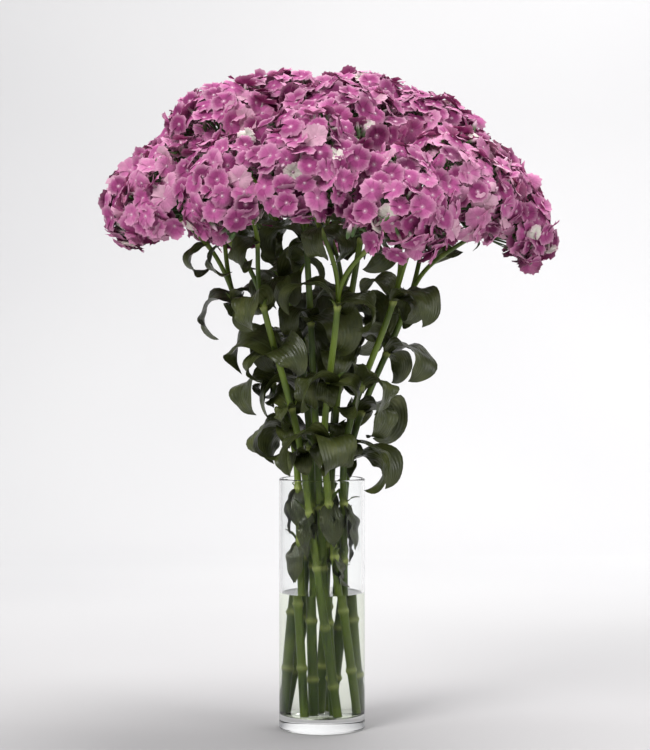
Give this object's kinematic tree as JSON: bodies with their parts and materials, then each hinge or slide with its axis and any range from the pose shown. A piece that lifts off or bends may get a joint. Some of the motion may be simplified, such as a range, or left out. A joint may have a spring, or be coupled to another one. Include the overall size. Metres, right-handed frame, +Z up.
{
  "type": "bunch of cut dianthus in a glass cylinder vase",
  "caption": "Domed bunch of leafy dianthus stems with pink flower heads, standing in a clear cylinder vase of water.",
  "frame": {"origin": "centre of the vase's underside", "axes": "+Z up along the vase's axis, -Y towards the viewer of the picture, +X to the viewer's right"},
  "size_m": [0.4459, 0.4423, 0.6632],
  "materials": {
    "glass": "polished",
    "water": "polished",
    "foliage": "satin",
    "petal": "matte"
  },
  "bodies": {
    "root": {"vase": "glass", "water": "water", "stem_01": "foliage", "stem_02": "foliage", "stem_03": "foliage", "stem_04": "foliage", "stem_05": "foliage", "stem_06": "foliage", "stem_07": "foliage", "stem_08": "foliage", "stem_09": "foliage", "stem_10": "foliage", "head_01a": "petal", "head_01b": "petal", "head_02a": "petal", "head_02b": "petal", "head_03a": "petal", "head_03b": "petal", "head_04a": "petal", "head_04b": "petal", "head_05a": "petal", "head_05b": "petal", "head_06a": "petal", "head_06b": "petal", "head_07a": "petal", "head_07b": "petal", "head_08a": "petal", "head_08b": "petal", "head_09a": "petal", "head_09b": "petal", "head_10a": "petal", "head_10b": "petal"}
  },
  "joints": []
}
